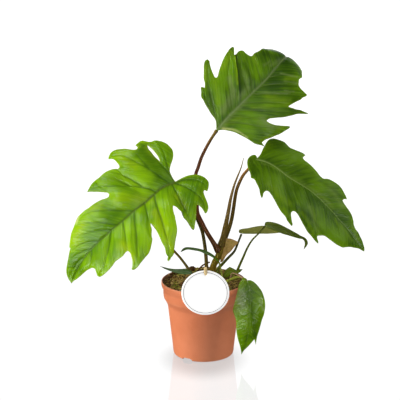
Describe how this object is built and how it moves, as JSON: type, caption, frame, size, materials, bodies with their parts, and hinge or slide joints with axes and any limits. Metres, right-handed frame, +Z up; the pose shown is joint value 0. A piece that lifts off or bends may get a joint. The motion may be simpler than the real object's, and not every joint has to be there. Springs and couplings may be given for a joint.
{
  "type": "potted philodendron",
  "caption": "Young cut-leaf philodendron in a round terracotta-coloured nursery pot, with arching petioles, lobed glossy leaves and a bare round plant label on a wooden stick.",
  "frame": {"origin": "centre of the flat disc under the pot, on the surface it stands on", "axes": "+Z up; the front of the plant with its label faces -Y; +X is to the right seen from the front"},
  "size_m": [0.419, 0.231, 0.433],
  "materials": {
    "pot": "satin, fine moulded grain",
    "peat": "moist fibrous peat with moss",
    "dead_matter": "dry",
    "dry_root": "dry, fibrous",
    "moss": "loose",
    "leaf_dark": "glossy leaf",
    "leaf_bright": "glossy leaf",
    "leaf_deep": "glossy leaf",
    "leaf_young": "very glossy leaf",
    "leaf_olive": "satin underside of a leaf",
    "leaf_blue": "satin leaf",
    "petiole_red": "smooth",
    "petiole_olive": "smooth",
    "petiole_orange": "smooth",
    "crown": "dull, sheathed",
    "spear": "smooth",
    "dry_sheath": "papery, translucent",
    "petiole_green": "smooth",
    "label": "coated card, bare but for a thin grey ring",
    "stick": "pale round wood"
  },
  "bodies": {
    "root": {"nursery_pot": "pot", "potting_soil": "peat", "bark_bit_1": "dead_matter", "bark_bit_2": "dead_matter", "dead_leaf_bit": "dead_matter", "dry_twig_1": "dry_root", "dry_twig_2": "dry_root", "dry_twig_3": "dry_root", "moss_clump": "moss", "top_leaf_blade": "leaf_dark", "left_leaf_blade": "leaf_bright", "right_leaf_blade": "leaf_deep", "back_leaf_blade": "leaf_dark", "juvenile_leaf_blade": "leaf_young", "small_leaf_a_blade": "leaf_olive", "small_leaf_b_blade": "leaf_deep", "narrow_leaf_blade": "leaf_blue", "strap_leaf_blade": "leaf_dark", "soil_leaf_blade": "leaf_deep", "top_leaf_petiole": "petiole_red", "left_leaf_petiole": "petiole_olive", "right_leaf_petiole": "petiole_orange", "crown_stem": "crown", "new_leaf_spear": "spear", "dry_sheath": "dry_sheath", "small_leaf_a_petiole": "petiole_olive", "small_leaf_b_petiole": "petiole_green", "back_leaf_petiole": "petiole_green", "juvenile_leaf_petiole": "petiole_green", "strap_leaf_petiole": "petiole_green", "narrow_leaf_petiole": "petiole_green", "label_disc": "label", "label_stick": "stick"}
  },
  "joints": []
}
